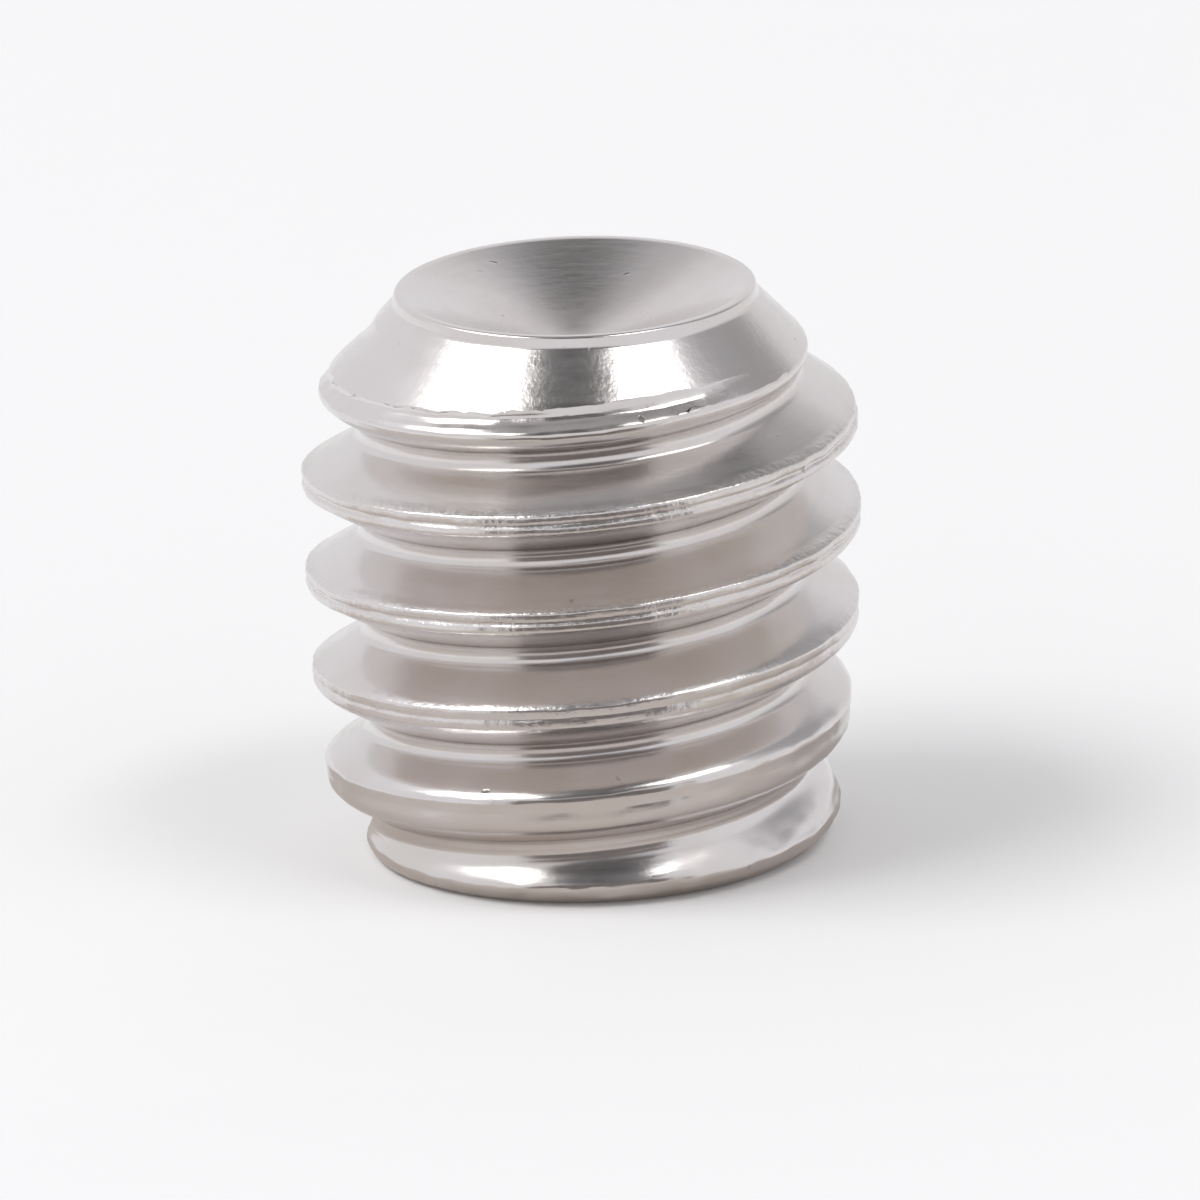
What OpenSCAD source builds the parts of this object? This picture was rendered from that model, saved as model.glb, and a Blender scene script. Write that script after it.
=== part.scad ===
// Hexagon socket set screw with a cup point and a right-hand metric thread.
// It stands on its socket end, with its axis along Z and the cup point up.
// The origin is on the axis, in the plane of the socket end.

/* [Thread] */
// Diameter over the thread crests
crest_diameter = 3.88; // [3.6:0.02:5]
// Rise of the thread in one turn
thread_pitch = 0.7; // [0.6:0.05:0.8]
// Depth of the thread from crest to root, along the radius
thread_depth = 0.4; // [0.3:0.01:0.44]
// Width of the crest along the axis
crest_width = 0.13; // [0.08:0.01:0.16]
// Radius of the rounding at the root, as far as the groove leaves room for it
root_radius = 0.08; // [0.04:0.01:0.12]
// Angle between the two flanks, in degrees
flank_angle = 60; // [50:1:60]
// Angle round the axis at which a crest meets the socket end, in degrees
thread_start = 235; // [0:5:355]

/* [Body] */
// Overall length
screw_length = 4; // [3.8:0.05:8]

/* [Cup point] */
// Diameter of the lip around the cup
lip_diameter = 2.5; // [2:0.02:2.7]
// Height of the lip above the chamfer
lip_height = 0.06; // [0.03:0.01:0.2]
// Width of the flat rim on top of the lip
rim_width = 0.06; // [0.02:0.01:0.2]
// Angle across the cup, in degrees
cup_angle = 140; // [100:1:150]
// Angle between the chamfer and the axis at the cup point, in degrees
point_chamfer_angle = 43; // [35:1:60]

/* [Socket end] */
// Width of the hexagon socket across its flats
socket_width = 2; // [1.5:0.05:2.1]
// Depth of the hexagon socket
socket_depth = 1.6; // [1:0.05:1.9]
// Angle across the drill point at the bottom of the socket, in degrees
drill_angle = 120; // [110:1:140]
// Diameter of the countersink at the mouth of the socket
mouth_diameter = 2.4; // [2.32:0.02:2.5]
// Angle across the countersink, in degrees
mouth_angle = 120; // [90:1:130]
// Outer diameter of the flat face around the socket
end_diameter = 2.8; // [2.6:0.02:3.1]
// Angle between the chamfer and the axis at the socket end, in degrees
end_chamfer_angle = 52; // [35:1:65]
// Length over which the thread grows to its full height from the socket end
lead_length = 1.95; // [0.5:0.05:2.2]
// Angle between the lead and the axis, in degrees
lead_angle = 6.5; // [0:0.5:10]

/* [Hidden] */

segments_per_turn = 54; // facets round one turn of the thread
root_steps = 2; // facets along each rounding at the root
round_segments = 96; // facets round the turned surfaces in a preview
past_crest = 0.02; // how far the groove's cutter reaches past the crests
past_end = 0.1; // how far the socket's cutters reach past the socket end
groove_ends = 1.5; // turns that the groove's cutter runs on past each end

crest_radius = crest_diameter / 2;
root_level = crest_radius - thread_depth;
half_flank = flank_angle / 2;

// Half the groove's width at a distance from the axis
function half_width(r) =
    (thread_pitch - crest_width) / 2 - (crest_radius - r) * tan(half_flank);

// The two roundings at the root may meet in its middle, but not cross
rounding_turn = tan((90 - half_flank) / 2);
root_rounding = min(root_radius, half_width(root_level) / rounding_turn);

// One side of the groove's section, as [distance from the axis, distance along it],
// from outside the crest down the flank and round into the root
rounding_end = half_width(root_level) - root_rounding * rounding_turn;
side = concat(
    [[crest_radius + past_crest, half_width(crest_radius + past_crest)]],
    [for (i = [0:root_steps])
        let (a = half_flank + (90 - half_flank) * i / root_steps)
        [
            root_level + root_rounding * (1 - sin(a)),
            rounding_end + root_rounding * cos(a)
        ]]
);
groove_section = concat(
    side,
    [for (i = [len(side) - 1:-1:0]) [side[i][0], -side[i][1]]]
);

// The cutter's turns, counted from the crest that meets the socket end
first_turn = -groove_ends;
last_turn = ceil(screw_length / thread_pitch) + groove_ends;
groove_steps = ceil((last_turn - first_turn) * segments_per_turn);

// The groove runs half a pitch above each crest
function on_helix(point, turn) =
    let (angle = 360 * turn + thread_start)
    [
        point[0] * cos(angle),
        point[0] * sin(angle),
        thread_pitch * (turn + 0.5) + point[1]
    ];

module thread_groove() {
    n = len(groove_section);
    points = [
        for (i = [0:groove_steps])
            for (point = groove_section)
                on_helix(point, first_turn + i / segments_per_turn)
    ];
    caps = [
        [for (k = [n - 1:-1:0]) k],
        [for (k = [0:n - 1]) groove_steps * n + k]
    ];
    walls = [
        for (i = [0:groove_steps - 1])
            for (k = [0:n - 1])
                let (a = i * n + k, b = i * n + (k + 1) % n)
                for (face = [[a, b, a + n], [b, b + n, a + n]])
                    face
    ];
    polyhedron(points, concat(caps, walls), convexity = 10);
}

// Outline of the turned blank, from the socket end to the bottom of the cup
lip_radius = lip_diameter / 2;
rim_radius = lip_radius - rim_width;
cup_depth = rim_radius / tan(cup_angle / 2);
chamfer_top = screw_length - lip_height;
point_chamfer = (crest_radius - lip_radius) / tan(point_chamfer_angle);
end_radius = end_diameter / 2;
lead_radius = crest_radius - lead_length * tan(lead_angle);
// Height at which the end chamfer meets the lead
end_chamfer = (lead_radius - end_radius) / (tan(end_chamfer_angle) - tan(lead_angle));

module blank() {
    rotate_extrude($fn = round_segments)
        polygon([
            [0, 0],
            [end_radius, 0],
            [end_radius + end_chamfer * tan(end_chamfer_angle), end_chamfer],
            [crest_radius, lead_length],
            [crest_radius, chamfer_top - point_chamfer],
            [lip_radius, chamfer_top],
            [lip_radius, screw_length],
            [rim_radius, screw_length],
            [0, screw_length - cup_depth]
        ]);
}

// Hexagon socket, the drill point under it and the countersink at its mouth
socket_radius = socket_width / 2;
drill_depth = socket_radius / tan(drill_angle / 2);
mouth_slope = tan(mouth_angle / 2);
mouth_radius = mouth_diameter / 2;

module socket() {
    translate([0, 0, -past_end])
        cylinder(r = socket_radius / cos(30), h = socket_depth + past_end, $fn = 6);
    translate([0, 0, socket_depth])
        cylinder(r1 = socket_radius, r2 = 0, h = drill_depth, $fn = round_segments);
    translate([0, 0, -past_end])
        cylinder(
            r1 = mouth_radius + past_end * mouth_slope,
            r2 = 0,
            h = mouth_radius / mouth_slope + past_end,
            $fn = round_segments
        );
}

module set_screw() {
    color("silver")
        difference() {
            blank();
            thread_groove();
            socket();
        }
}

set_screw();
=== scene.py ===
import math

import bmesh
import bpy
from mathutils import Euler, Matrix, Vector
from mathutils.noise import noise as unevenness


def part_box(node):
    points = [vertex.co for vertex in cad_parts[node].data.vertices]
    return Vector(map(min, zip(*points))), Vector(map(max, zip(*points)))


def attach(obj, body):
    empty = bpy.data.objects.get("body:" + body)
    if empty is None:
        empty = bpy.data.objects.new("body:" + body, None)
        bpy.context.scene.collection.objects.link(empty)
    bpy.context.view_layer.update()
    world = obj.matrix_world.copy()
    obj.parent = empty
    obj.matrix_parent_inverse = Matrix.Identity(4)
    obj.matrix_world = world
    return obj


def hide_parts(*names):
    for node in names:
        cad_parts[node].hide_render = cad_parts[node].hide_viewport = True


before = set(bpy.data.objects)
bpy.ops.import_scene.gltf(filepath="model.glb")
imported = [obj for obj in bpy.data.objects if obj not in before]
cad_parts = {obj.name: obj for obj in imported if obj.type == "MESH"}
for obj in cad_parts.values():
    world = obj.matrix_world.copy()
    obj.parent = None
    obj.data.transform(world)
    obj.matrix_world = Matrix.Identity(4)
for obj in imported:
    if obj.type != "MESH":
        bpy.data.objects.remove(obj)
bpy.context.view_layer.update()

# The screw is modelled in millimetres and scaled to metres when it is done
millimetre = 0.001
screwLow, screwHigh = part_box("set_screw")
crestRadius = (screwHigh.x - screwLow.x) / 2 / millimetre
screwLength = (screwHigh.z - screwLow.z) / millimetre
sameSpot = 1e-4              # points closer than this, in millimetres, are one


# Outlines, cuts and edges

def selectOnly(piece):
    bpy.ops.object.select_all(action="DESELECT")
    bpy.context.view_layer.objects.active = piece
    piece.select_set(True)


def editPoints(piece):
    selectOnly(piece)
    bpy.ops.object.mode_set(mode="EDIT")
    bpy.ops.mesh.select_mode(type="VERT")
    bpy.ops.mesh.select_all(action="DESELECT")
    return bmesh.from_edit_mesh(piece.data)


def endEdit():
    bpy.ops.object.mode_set(mode="OBJECT")


def drawOutline(name, corners):
    # A chain of edges in the XZ plane, each corner given as (radius, height),
    # drawn on from a small plane that is merged into the first corner
    bpy.ops.object.select_all(action="DESELECT")
    bpy.ops.mesh.primitive_plane_add(size=0.1, location=(corners[0][0], 0, corners[0][1]))
    outline = bpy.context.object
    outline.name = name
    editPoints(outline)
    bpy.ops.mesh.select_all(action="SELECT")
    bpy.ops.mesh.merge(type="CENTER")
    for (radius, height), (nextRadius, nextHeight) in zip(corners, corners[1:]):
        step = (nextRadius - radius, 0, nextHeight - height)
        bpy.ops.mesh.extrude_region_move(TRANSFORM_OT_translate={"value": step})
    endEdit()
    bpy.ops.object.transform_apply(location=True, rotation=False, scale=False)
    return outline


def roundCorners(outline, corners, tangent, segments):
    # Each corner named by its place is rounded off over the tangent's length
    points = editPoints(outline)
    for point in points.verts:
        away = [math.dist((point.co.x, point.co.z), corner) for corner in corners]
        point.select_set(min(away) < sameSpot)
    points.select_flush(True)
    bpy.ops.mesh.bevel(offset=tangent, segments=segments, affect="VERTICES")
    endEdit()


def splitLongEdges(outline, longest, cuts):
    edges = editPoints(outline)
    bpy.ops.mesh.select_mode(type="EDGE")
    for edge in edges.edges:
        edge.select_set(edge.calc_length() > longest)
    bpy.ops.mesh.subdivide(number_cuts=cuts)
    endEdit()


def closeMesh(piece, gap=sameSpot):
    editPoints(piece)
    bpy.ops.mesh.select_all(action="SELECT")
    bpy.ops.mesh.remove_doubles(threshold=gap)
    bpy.ops.mesh.normals_make_consistent(inside=False)
    endEdit()


def applyModifier(piece, kind, **settings):
    selectOnly(piece)
    bpy.ops.object.modifier_add(type=kind)
    modifier = piece.modifiers[-1]
    for name, value in settings.items():
        setattr(modifier, name, value)
    bpy.ops.object.modifier_apply(modifier=modifier.name)


def combine(piece, tool, how):
    applyModifier(piece, "BOOLEAN", object=tool, operation=how, solver="EXACT")
    bpy.data.objects.remove(tool)


# The rolled thread, as one long solid that the turned blank trims afterwards

thread = {
    "pitch": 0.7,            # rise in one turn
    "depth": 0.4,            # from crest to root, along the radius
    "flankAngle": 60,        # between the two flanks, in degrees
    "crestWidth": 0.13,
    "crestRounding": 0.03,
    "crestSegments": 4,
    "seamWidth": 0.05,       # the seam that rolling leaves along the crest
    "seamDepth": 0.014,
    "seamRounding": 0.006,
    "seamSegments": 2,
    "rootRounding": 0.08,
    "rootSegments": 6,
    "flankCuts": 7,          # extra points along each flank
    "startAngle": 235,       # where a crest meets the socket end, in degrees
    "stepsPerTurn": 192,
    "turnsBelow": 2,
    "turns": 10,
    "wobble": 0.006,         # how far rolling left the surface off its true form
    "wobbleSize": 0.45,
}


def makeThread():
    halfFlank = math.radians(thread["flankAngle"] / 2)
    rootRadius = crestRadius - thread["depth"]
    halfPitch = thread["pitch"] / 2
    crestEdge = thread["crestWidth"] / 2
    seamEdge = thread["seamWidth"] / 2
    rootEdge = crestEdge + thread["depth"] * math.tan(halfFlank)
    halfTurn = (math.pi / 2 - halfFlank) / 2
    corners = [
        (rootRadius, -halfPitch),
        (rootRadius, -rootEdge),
        (crestRadius, -crestEdge),
        (crestRadius, -seamEdge),
        (crestRadius - thread["seamDepth"], 0),
        (crestRadius, seamEdge),
        (crestRadius, crestEdge),
        (rootRadius, rootEdge),
        (rootRadius, halfPitch),
    ]
    piece = drawOutline("thread", corners)
    rootTangent = thread["rootRounding"] * math.tan(halfTurn)
    crestTangent = thread["crestRounding"] * math.tan(halfTurn)
    roundCorners(piece, [corners[1], corners[7]], rootTangent, thread["rootSegments"])
    roundCorners(piece, [corners[2], corners[6]], crestTangent, thread["crestSegments"])
    roundCorners(piece, corners[3:6], thread["seamRounding"], thread["seamSegments"])
    splitLongEdges(piece, thread["depth"] / 2, thread["flankCuts"])
    steps = thread["stepsPerTurn"]
    applyModifier(
        piece, "SCREW", axis="Z", angle=2 * math.pi, screw_offset=thread["pitch"],
        steps=steps, render_steps=steps, iterations=thread["turns"],
    )
    closeMesh(piece)
    piece.location.z = -thread["turnsBelow"] * thread["pitch"]
    piece.rotation_euler.z = math.radians(thread["startAngle"])
    bpy.ops.object.transform_apply(location=True, rotation=True, scale=False)
    for lower in (True, False):
        closeThreadEnd(piece, lower)
    closeMesh(piece)
    settleCrests(piece)
    ripples = bpy.data.textures.new("rolling wobble", "CLOUDS")
    ripples.noise_scale = thread["wobbleSize"]
    applyModifier(
        piece, "DISPLACE", texture=ripples, texture_coords="LOCAL",
        strength=thread["wobble"], mid_level=0.5,
    )
    return piece


def closeThreadEnd(piece, lower):
    # The open edge at one end is drawn together in a point near the axis
    mesh = editPoints(piece)
    bpy.ops.mesh.select_mode(type="EDGE")
    for edge in mesh.edges:
        height = (edge.verts[0].co.z + edge.verts[1].co.z) / 2
        edge.select_set(edge.is_boundary and (height < screwLength / 2) == lower)
    bpy.ops.mesh.extrude_region_move(TRANSFORM_OT_translate={"value": (0, 0, 0)})
    bpy.ops.mesh.merge(type="CENTER")
    endEdit()


# The crests near the two ends, which rolling leaves low, round and uneven

crests = {
    "leadLength": 1.6,       # how far up from the socket end the crests are low
    "leadAngle": 7.4,
    "leadShift": -0.03,      # how far the low crests lie to one side
    "cupSoftness": 0.26,     # how round the crests are at each chamfer
    "endSoftness": 0.2,
    "leadSoftness": 0.1,
    "lastCrest": 1.737,      # the last crest is a slope: its radius in the middle,
    "lastSlope": 0.75,       # how fast that falls upwards
    "lastSoftness": 0.03,
    "lastHeight": 0.4,       # crests below this height begin to turn into it
    "lastGrowth": 1.6,       # how fast they do
    "lastFading": 7,         # and how fast the slope fades into the root
    "seamDrop": 0.045,       # the open seam of the lowest crests: how far it lies
    "seamReach": 0.085,      # off their middle, half its width and its depth
    "seamDepth": 0.05,       # at the cup point
    "endSeamDepth": 0.012,   # and at the socket end
    "ragged": 0.016,         # how uneven rolling left the crests
    "raggedness": 6.5,       # uneven spots to a millimetre
    "fullDrop": 0.3,         # a crest this much lower has its seam fully open
    "lastDrop": 0.42,        # and one this much lower has none
    "spare": 0.012,          # what the chamfers still cut off the rolled thread
}


def softMinimum(first, second, softness):
    # The lesser of two sizes, with the corner between them rounded
    near = max(softness - abs(first - second), 0) / softness
    return min(first, second) - near * near * softness / 4


def settleCrests(piece):
    pointSlope = math.tan(math.radians(blank["pointChamfer"]))
    endSlope = math.tan(math.radians(blank["endChamfer"]))
    leadSlope = math.tan(math.radians(crests["leadAngle"]))
    chamferTop = screwLength - blank["lipHeight"]
    spare = crests["spare"]
    pitch = thread["pitch"]
    for point in editPoints(piece).verts:
        radius = math.hypot(point.co.x, point.co.y)
        if radius < blank["endRadius"]:
            continue  # the points that close the ends
        # How far the point lies above the nearest crest, as a share of the pitch
        turned = math.atan2(point.co.y, point.co.x) - math.radians(thread["startAngle"])
        offCrest = (point.co.z / pitch - turned / (2 * math.pi) + 0.5) % 1 - 0.5
        # The radii that the two chamfers and the lead leave at its height
        height = min(max(point.co.z, 0), chamferTop)
        towardCup = blank["lipFoot"] + (chamferTop - height) * pointSlope + spare
        towardEnd = blank["endRadius"] + height * endSlope + spare
        aside = point.co.x / radius
        lead = crestRadius + crests["leadShift"] * aside
        lead -= (crests["leadLength"] - height) * leadSlope
        settled = softMinimum(radius, towardCup, crests["cupSoftness"])
        settled = softMinimum(settled, lead, crests["leadSoftness"])
        # Near the socket end the crest becomes a slope
        nearEnd = 1 - (point.co.z - offCrest * pitch) / crests["lastHeight"]
        nearEnd = min(max(0, crests["lastGrowth"] * nearEnd), 1)
        nearEnd *= min(crests["lastFading"] * (0.5 - offCrest), 1)
        last = crests["lastCrest"] - offCrest * pitch * crests["lastSlope"]
        settled += nearEnd * (softMinimum(settled, last, crests["lastSoftness"]) - settled)
        settled = softMinimum(settled, towardEnd, crests["endSoftness"])
        # Where the crest is low, the seam along it stays open
        drop = crestRadius - min(towardCup, towardEnd, lead)
        closing = (crests["lastDrop"] - drop) / (crests["lastDrop"] - crests["fullDrop"])
        openness = max(min(drop / crests["fullDrop"], closing, 1), 0)
        side, depth = 1, crests["endSeamDepth"]
        if height > screwLength / 2:
            side, depth = -1, crests["seamDepth"]
        offSeam = (offCrest * pitch - side * crests["seamDrop"] * openness) / crests["seamReach"]
        if abs(offSeam) < 1:
            settled -= depth * openness * (1 - offSeam * offSeam) ** 2
        # A low crest is wider, so its unevenness reaches further
        reach = thread["crestWidth"] + max(drop, 0) / 2
        onCrest = max(0, 1 - abs(offCrest * pitch) / reach)
        uneven = unevenness(point.co * crests["raggedness"]) - 0.5
        settled += crests["ragged"] * onCrest * uneven * max(min(closing, 1), 0)
        point.co.x *= settled / radius
        point.co.y *= settled / radius
    endEdit()


# The turned blank: socket end, chamfers, lip and cup

blank = {
    "lipRadius": 1.25,
    "lipFoot": 1.265,        # its radius where it meets the chamfer
    "lipHeight": 0.08,
    "rimWidth": 0.06,
    "cupAngle": 140,
    "pointChamfer": 43,      # between the chamfer and the axis, in degrees
    "endRadius": 1.51,
    "endChamfer": 60,
    "overThread": 0.06,      # the blank's own radius beyond the crests
    "longestRun": 0.2,       # straight runs of the outline longer than this are cut up
    "cuts": 5,
    "lipRounding": 0.018,
    "lipSegments": 4,
    "endRounding": 0.03,
    "endSegments": 5,
}


def makeBlank():
    outerRadius = crestRadius + blank["overThread"]
    endRun = outerRadius - blank["endRadius"]
    chamferTop = screwLength - blank["lipHeight"]
    chamferRun = outerRadius - blank["lipFoot"]
    rimRadius = blank["lipRadius"] - blank["rimWidth"]
    corners = [
        (0, 0),
        (blank["endRadius"], 0),
        (outerRadius, endRun / math.tan(math.radians(blank["endChamfer"]))),
        (outerRadius, chamferTop - chamferRun / math.tan(math.radians(blank["pointChamfer"]))),
        (blank["lipFoot"], chamferTop),
        (blank["lipRadius"], screwLength),
        (rimRadius, screwLength),
        (0, screwLength - rimRadius / math.tan(math.radians(blank["cupAngle"] / 2))),
    ]
    piece = drawOutline("blank", corners)
    roundCorners(piece, corners[4:7], blank["lipRounding"], blank["lipSegments"])
    roundCorners(piece, corners[1:2], blank["endRounding"], blank["endSegments"])
    splitLongEdges(piece, blank["longestRun"], blank["cuts"])
    editPoints(piece)
    bpy.ops.mesh.select_all(action="SELECT")
    bpy.ops.mesh.spin(
        steps=thread["stepsPerTurn"], angle=2 * math.pi, center=(0, 0, 0), axis=(0, 0, 1)
    )
    endEdit()
    closeMesh(piece)
    return piece


# The hexagon socket with its drill point and the countersink at its mouth

socket = {
    "acrossFlats": 2.0,
    "depth": 1.6,
    "drillRadius": 0.97,
    "drillAngle": 120,
    "mouthDiameter": 2.4,
    "mouthAngle": 120,
    "below": 0.1,            # how far the cutters reach past the socket end
}


def cutSocket(screw):
    halfFlats = socket["acrossFlats"] / 2
    below = socket["below"]
    bpy.ops.object.select_all(action="DESELECT")
    bpy.ops.mesh.primitive_cylinder_add(
        vertices=6, radius=halfFlats / math.cos(math.radians(30)),
        depth=socket["depth"] + below, location=(0, 0, (socket["depth"] - below) / 2),
        rotation=(0, 0, math.radians(30)),
    )
    hexagon = bpy.context.object
    bpy.ops.object.transform_apply(location=True, rotation=True, scale=True)
    combine(screw, hexagon, "DIFFERENCE")
    drillRadius = socket["drillRadius"]
    drillDepth = drillRadius / math.tan(math.radians(socket["drillAngle"] / 2))
    combine(screw, addCone(drillRadius, socket["depth"], drillDepth), "DIFFERENCE")
    slope = math.tan(math.radians(socket["mouthAngle"] / 2))
    mouthRadius = socket["mouthDiameter"] / 2
    mouth = addCone(mouthRadius + below * slope, -below, mouthRadius / slope + below)
    combine(screw, mouth, "DIFFERENCE")


def addCone(radius, foot, height):
    bpy.ops.object.select_all(action="DESELECT")
    bpy.ops.mesh.primitive_cone_add(
        vertices=thread["stepsPerTurn"], radius1=radius, radius2=0,
        depth=height, location=(0, 0, foot + height / 2),
    )
    cone = bpy.context.object
    bpy.ops.object.transform_apply(location=True, rotation=False, scale=False)
    return cone


# The finished screw: thread and blank together, sharp cuts broken, sizes in metres

finish = {
    "sharpAngle": 24,        # edges that turn by more than this are broken
    "edgeBreak": 0.01,
    "edgeSegments": 2,
    "smallestEdge": 0.003,
    "smoothAngle": 40,
    "normalWeight": 50,      # how far large faces lead the shading
}


def makeScrew():
    screw = makeThread()
    print("thread rolled:", len(screw.data.polygons), "faces")
    combine(screw, makeBlank(), "INTERSECT")
    cutSocket(screw)
    closeMesh(screw, finish["smallestEdge"])
    print("blank and socket cut:", len(screw.data.polygons), "faces")
    editPoints(screw)
    bpy.ops.mesh.select_mode(type="EDGE")
    bpy.ops.mesh.edges_select_sharp(sharpness=math.radians(finish["sharpAngle"]))
    bpy.ops.mesh.bevel(
        offset=finish["edgeBreak"], segments=finish["edgeSegments"], affect="EDGES",
        clamp_overlap=False,
    )
    endEdit()
    closeMesh(screw)
    # The bevel may reach a little past the two ends
    for point in editPoints(screw).verts:
        point.co.z = min(max(point.co.z, 0), screwLength)
    endEdit()
    bpy.ops.object.shade_smooth_by_angle(angle=math.radians(finish["smoothAngle"]))
    applyModifier(screw, "WEIGHTED_NORMAL", keep_sharp=True, weight=finish["normalWeight"])
    screw.scale = (millimetre, millimetre, millimetre)
    bpy.ops.object.transform_apply(location=False, rotation=False, scale=True)
    screw.name = "setScrew"
    return screw


# Materials

class Signal:
    # One socket of a material, so that its maths reads as plain Python
    def __init__(self, tree, socket):
        self.tree, self.socket = tree, socket

    def math(self, operation, *values):
        return makeNode(self.tree, "Math", dict(operation=operation), values)

    def __add__(self, other):
        return self.math("ADD", self, other)

    __radd__ = __add__

    def __sub__(self, other):
        return self.math("SUBTRACT", self, other)

    def __rsub__(self, other):
        return self.math("SUBTRACT", other, self)

    def __mul__(self, other):
        return self.math("MULTIPLY", self, other)

    __rmul__ = __mul__

    def __truediv__(self, other):
        return self.math("DIVIDE", self, other)


def makeNode(tree, kind, settings, values, output=0):
    node = tree.nodes.new("ShaderNode" + kind)
    for name, value in settings.items():
        setattr(node, name, value)
    named = values.items() if isinstance(values, dict) else enumerate(values)
    for name, value in named:
        if isinstance(value, Signal):
            tree.links.new(value.socket, node.inputs[name])
        else:
            node.inputs[name].default_value = value
    return Signal(tree, node.outputs[output])


def mixColours(tree, factor, first, second):
    # The sockets of a Mix node by number: 0 factor, 6 and 7 colours, output 2
    return makeNode(tree, "Mix", dict(data_type="RGBA"), {0: factor, 6: first, 7: second}, 2)


steel = {
    "colour": (0.70, 0.665, 0.64, 1),
    "paleColour": (0.74, 0.71, 0.705, 1),
    "pitColour": (0.33, 0.30, 0.28, 1),
    "colourPatch": 1.1,      # patches to a millimetre
    "patchStart": 0.35,      # noise below this is the first colour
    "patchFull": 0.65,       # and above this the pale one
    "roughness": 0.22,
    "streaksAround": 2.2,    # rolling and turning marks, round the axis
    "streaksAcross": 17.0,   # and across it, to a millimetre
    "streakHeight": 0.5,
    "streakRoughness": 0.16,
    "grain": 11.0,           # grains to a millimetre
    "grainHeight": 0.45,
    "crestGrainHeight": 5.0,
    "crestStart": 0.1,       # how far under the crests' radius this sets in
    "crestFull": 0.03,
    "chamferGrain": 24.0,    # the finer grain of the chamfer at the cup point
    "chamferGrainHeight": 0.8,
    "chamferStart": 0.6,     # how far under the top this sets in
    "chamferFull": 0.45,
    "besideLip": 0.05,       # and over what width beside the lip
    "grainRoughness": 0.07,
    "crestRoughness": 0.04,  # added on the crests
    "cupRoughness": 0.2,     # and towards the middle of the cup
    "cupMiddle": 0.75,       # within this radius
    "noiseRoughness": 0.6,
    "pits": 9.0,             # spots to a millimetre
    "pitStart": 0.77,        # noise above this is a pit
    "pitEdge": 0.05,
    "pitDepth": 1.2,
    "pitDarkness": 0.7,
    "markDepth": 1.6e-6,     # in metres
}


def makeSteel():
    material = bpy.data.materials.new("stainless steel")
    material.use_nodes = True
    tree = material.node_tree
    shader = tree.nodes["Principled BSDF"]

    def noise(scale, vector, detail, **more):
        settings = dict(noise_dimensions="4D" if more else "3D")
        values = {"Vector": vector, "Scale": scale, "Detail": detail}
        values["Roughness"] = steel["noiseRoughness"]
        return makeNode(tree, "TexNoise", settings, {**values, **more})

    def fade(value, start, end):
        return makeNode(
            tree, "MapRange", dict(interpolation_type="SMOOTHSTEP"),
            {"Value": value, "From Min": start, "From Max": end},
        )

    metres = makeNode(tree, "TexCoord", {}, {}, "Object")
    place = makeNode(
        tree, "VectorMath", dict(operation="SCALE"), {0: metres, "Scale": 1 / millimetre}
    )
    x, y, z = [makeNode(tree, "SeparateXYZ", {}, [place], axis) for axis in "XYZ"]
    squares = x * x + y * y
    radius = squares.math("SQRT", squares)
    around = steel["streaksAround"]
    across = steel["streaksAcross"]
    along = makeNode(
        tree, "CombineXYZ", {}, [x / radius * around, y / radius * around, z * across]
    )
    streaks = noise(1, along, detail=3, W=radius * across)
    grain = noise(steel["grain"], place, detail=4)
    chamferGrain = noise(steel["chamferGrain"], place, detail=3)
    patches = noise(steel["colourPatch"], place, detail=2)
    pits = noise(steel["pits"], place, detail=1)
    pits = fade(pits, steel["pitStart"], steel["pitStart"] + steel["pitEdge"])
    onCrest = fade(radius, crestRadius - steel["crestStart"], crestRadius - steel["crestFull"])
    besideLip = fade(radius, blank["lipRadius"], blank["lipRadius"] + steel["besideLip"])
    onChamfer = besideLip * fade(
        z, screwLength - steel["chamferStart"], screwLength - steel["chamferFull"]
    )
    inCup = fade(radius, steel["cupMiddle"], 0)

    relief = (
        streaks * steel["streakHeight"]
        + grain * (steel["grainHeight"] + onCrest * steel["crestGrainHeight"])
        + chamferGrain * onChamfer * steel["chamferGrainHeight"]
        - pits * steel["pitDepth"]
    )
    bump = makeNode(
        tree, "Bump", {}, {"Strength": 1.0, "Distance": steel["markDepth"], "Height": relief}
    )
    tree.links.new(bump.socket, shader.inputs["Normal"])

    roughness = (
        steel["roughness"]
        + (streaks - 0.5) * steel["streakRoughness"]
        + (grain - 0.5) * steel["grainRoughness"]
        + onCrest * steel["crestRoughness"]
        + inCup * steel["cupRoughness"]
    )
    tree.links.new(roughness.socket, shader.inputs["Roughness"])

    pale = fade(patches, steel["patchStart"], steel["patchFull"])
    clean = mixColours(tree, pale, steel["colour"], steel["paleColour"])
    marked = mixColours(tree, pits * steel["pitDarkness"], clean, steel["pitColour"])
    tree.links.new(marked.socket, shader.inputs["Base Color"])
    shader.inputs["Metallic"].default_value = 1
    return material


# Floor, lamps, surroundings and camera

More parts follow.
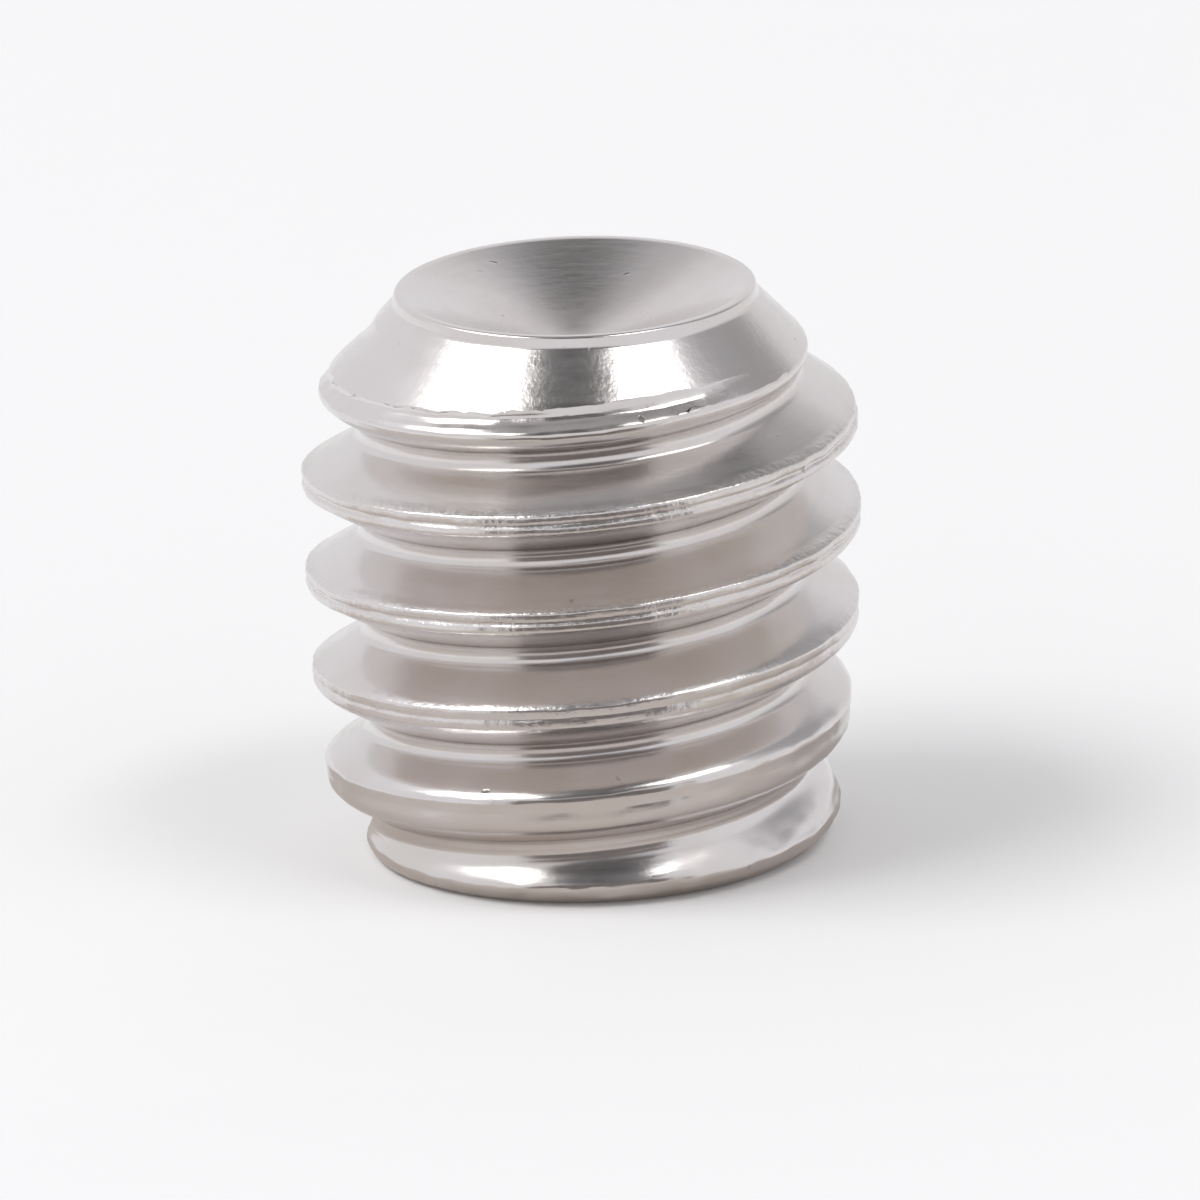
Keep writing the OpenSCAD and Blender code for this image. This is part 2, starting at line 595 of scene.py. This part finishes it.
studio = {
    "floorSide": 0.6,
    "floorColour": (1, 1, 1, 1),
    "paperRoughness": 0.9,
    "paperShine": 0.2,
    "lampDistance": 0.3,
    # azimuth from the camera, elevation, width and height in degrees, radiance
    "softboxes": {
        "left": (-75, 53.5, 54, 23, 4.5),
        "right": (57, 61, 50, 12, 4.5),
    },
    "lightColour": (0.98, 0.975, 1.0, 1),
    "wallLight": 0.87,
    "leastLight": 0.1,
    # darker parts of the room: azimuth, elevation, degrees from there to the part's
    # edge and to its full depth, and the light that it takes away
    "shades": {
        "ceiling": (180, 84, 36, 26, 0.46),
        "behind": (186, 54, 25, 11, 0.31),
        "overhead": (0, 56, 28, 16, 0.87),
        "right": (120, 40, 31, 11, 0.46),
    },
    # cards in front that show only as reflections, in millimetres: width, length,
    # the middle's distance and height, slope in degrees, colour
    "cards": {
        "standingCard": (7.2, 2.9, 5.6, 1.45, 90, (0.23, 0.205, 0.195, 1)),
        "lyingCard": (18.0, 7.1, 2.05, 0.01, 0, (0.71, 0.66, 0.62, 1)),
    },
}


def toward(azimuth, elevation):
    # Azimuth 0 is the camera's side and 90 its right
    side, rise = math.radians(azimuth), math.radians(elevation)
    return Vector((
        math.sin(side) * math.cos(rise), -math.cos(side) * math.cos(rise), math.sin(rise)
    ))


def makePaper(name, colour):
    material = bpy.data.materials.new(name)
    material.use_nodes = True
    shader = material.node_tree.nodes["Principled BSDF"]
    shader.inputs["Base Color"].default_value = colour
    shader.inputs["Roughness"].default_value = studio["paperRoughness"]
    shader.inputs["Specular IOR Level"].default_value = studio["paperShine"]
    return material


def addFloor():
    bpy.ops.object.select_all(action="DESELECT")
    bpy.ops.mesh.primitive_plane_add(size=studio["floorSide"], location=(0, 0, 0))
    floor = bpy.context.object
    floor.name = "floor"
    floor.data.materials.append(makePaper("floor", studio["floorColour"]))


def addCards():
    for name, (width, length, distance, height, slope, colour) in studio["cards"].items():
        bpy.ops.object.select_all(action="DESELECT")
        bpy.ops.mesh.primitive_plane_add(
            size=millimetre, rotation=(math.radians(slope), 0, 0),
            location=(0, -distance * millimetre, height * millimetre),
        )
        card = bpy.context.object
        card.name = name
        card.scale = (width, length, 1)
        bpy.ops.object.transform_apply(location=True, rotation=True, scale=True)
        for ray in ("camera", "diffuse", "shadow", "transmission", "volume_scatter"):
            setattr(card, "visible_" + ray, False)
        card.data.materials.append(makePaper(name, colour))


def addSoftboxes():
    for name, (azimuth, elevation, width, height, radiance) in studio["softboxes"].items():
        aim = toward(azimuth, elevation)
        lamp = bpy.data.lights.new(name, "AREA")
        lamp.shape = "RECTANGLE"
        lamp.size = 2 * studio["lampDistance"] * math.tan(math.radians(width / 2)) * math.cos(
            math.radians(elevation)
        )
        lamp.size_y = 2 * studio["lampDistance"] * math.tan(math.radians(height / 2))
        lamp.energy = radiance * math.pi * lamp.size * lamp.size_y
        softbox = bpy.data.objects.new(name, lamp)
        bpy.context.collection.objects.link(softbox)
        softbox.location = aim * studio["lampDistance"]
        softbox.rotation_euler = (-aim).to_track_quat("-Z", "Y").to_euler()


def addSurroundings():
    world = bpy.data.worlds.new("studio")
    bpy.context.scene.world = world
    world.use_nodes = True
    tree = world.node_tree
    direction = makeNode(tree, "TexCoord", {}, {}, "Generated")
    light = studio["wallLight"]
    for azimuth, elevation, edge, inside, depth in studio["shades"].values():
        nearness = makeNode(
            tree, "VectorMath", dict(operation="DOT_PRODUCT"),
            [direction, toward(azimuth, elevation)], "Value",
        )
        light = light - makeNode(
            tree, "MapRange", dict(interpolation_type="SMOOTHSTEP"),
            {
                "Value": nearness,
                "From Min": math.cos(math.radians(edge)),
                "From Max": math.cos(math.radians(inside)),
                "To Max": depth,
            },
        )
    light = light.math("MAXIMUM", light, studio["leastLight"])
    background = tree.nodes["Background"]
    background.inputs["Color"].default_value = studio["lightColour"]
    tree.links.new(light.socket, background.inputs["Strength"])


view = {
    "elevation": 16.85,
    "distance": 0.1941,
    "lens": 840.0,
    "nearest": 0.001,        # nothing closer than this is drawn
    "roll": 1.97,            # clockwise turn of the camera, in degrees
    "aimRight": 0.0295,      # how far the camera looks past the screw, in degrees
    "aimDown": -0.0777,
}


def addCamera():
    camera = bpy.data.objects.new("camera", bpy.data.cameras.new("camera"))
    bpy.context.collection.objects.link(camera)
    bpy.context.scene.camera = camera
    centre = Vector((0, 0, (screwLow.z + screwHigh.z) / 2))
    aim = toward(0, view["elevation"])
    camera.location = centre + aim * view["distance"]
    camera.data.lens = view["lens"]
    camera.data.clip_start = view["nearest"]
    straight = (-aim).to_track_quat("-Z", "Y")
    offset = Euler((math.radians(view["aimDown"]), -math.radians(view["aimRight"]), 0))
    roll = Euler((0, 0, -math.radians(view["roll"])))
    camera.rotation_euler = (
        straight @ offset.to_quaternion() @ roll.to_quaternion()
    ).to_euler()


addCamera()
addFloor()
addCards()
addSoftboxes()
addSurroundings()
print("studio ready")

screw = makeScrew()
screw.data.materials.clear()
screw.data.materials.append(makeSteel())
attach(screw, "root")
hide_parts("set_screw")
print("screw finished:", len(screw.data.polygons), "faces")

bpy.context.scene.view_settings.view_transform = "Standard"
